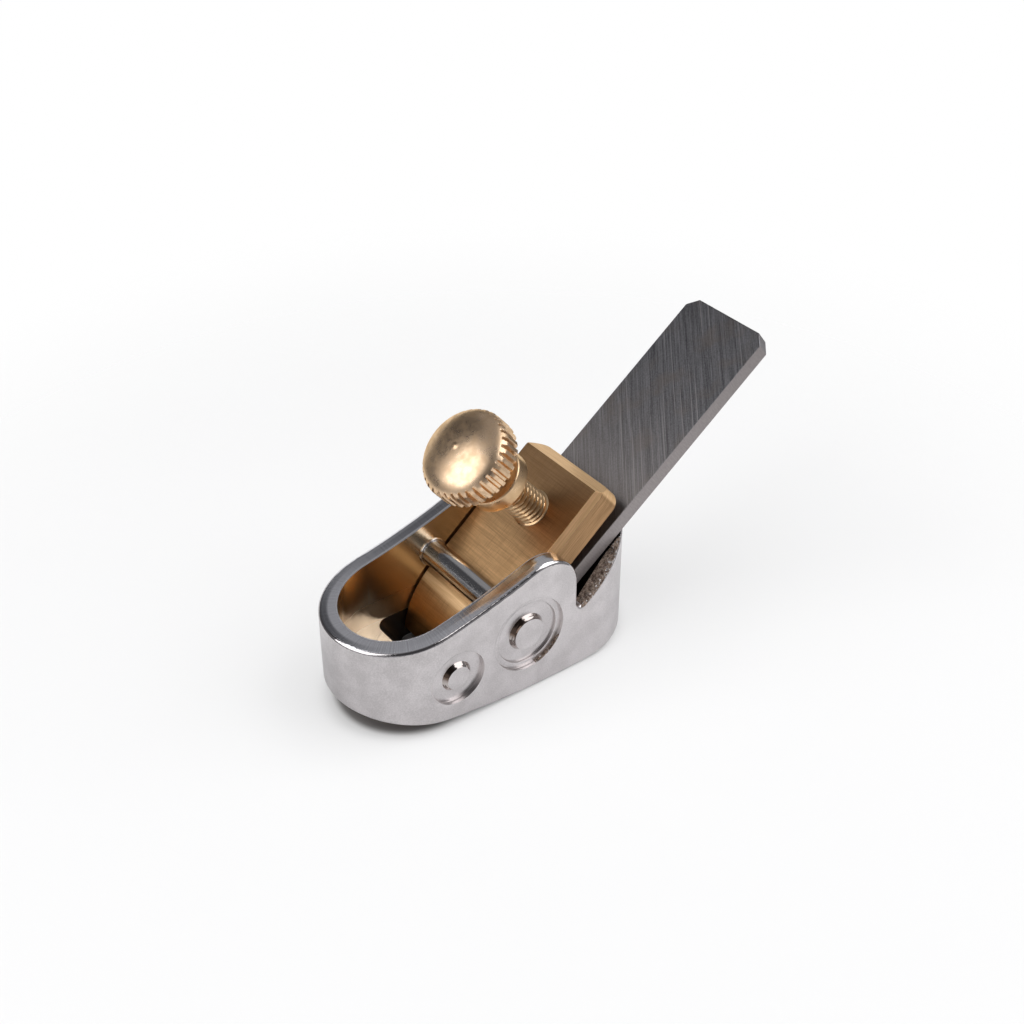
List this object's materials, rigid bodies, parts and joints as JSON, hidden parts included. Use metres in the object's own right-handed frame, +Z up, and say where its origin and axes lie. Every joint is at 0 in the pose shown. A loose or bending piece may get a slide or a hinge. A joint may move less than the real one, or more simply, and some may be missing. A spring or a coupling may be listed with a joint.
{
  "type": "finger plane",
  "caption": "Small hand plane with a rocker sole, a clamped cutting iron on a sloping bed, a brass lever cap under a cross bar and a knurled thumb screw.",
  "frame": {"origin": "the point where the rocker sole touches a flat bench, midway between the cheeks", "axes": "+X towards the toe, +Y towards the cheek seen in the picture, +Z up from the bench"},
  "size_m": [0.0541, 0.017, 0.0307],
  "materials": {
    "plated_body": "satin and polished nickel plating",
    "plated_bar": "polished",
    "iron_steel": "ground",
    "cap_brass": "machined satin",
    "screw_brass": "turned satin"
  },
  "bodies": {
    "plane": {"plane_body": "plated_body", "cross_bar": "plated_bar"},
    "iron": {"cutting_iron": "iron_steel"},
    "cap": {"lever_cap": "cap_brass"},
    "screw": {"thumb_screw": "screw_brass"}
  },
  "joints": [
    {"name": "iron_slide", "type": "slide", "parent": "plane", "child": "iron", "axis": [-0.7955, 0, 0.606], "range_m": [-0.0006, 0.015]},
    {"name": "screw_turn", "type": "hinge", "parent": "plane", "child": "screw", "pos_m": [-0.00283, 0, 0.01636], "axis": [0.6374, 0, 0.7705], "range_deg": [0, 450]},
    {"name": "cap_tilt", "type": "hinge", "parent": "plane", "child": "cap", "pos_m": [0.00573, 0, 0.01039], "axis": [0, -1, 0], "range_deg": [0, 4.8]}
  ],
  "couplings": [
    {"joint": "screw_turn", "follows": "cap_tilt", "ratio": 93.35}
  ]
}
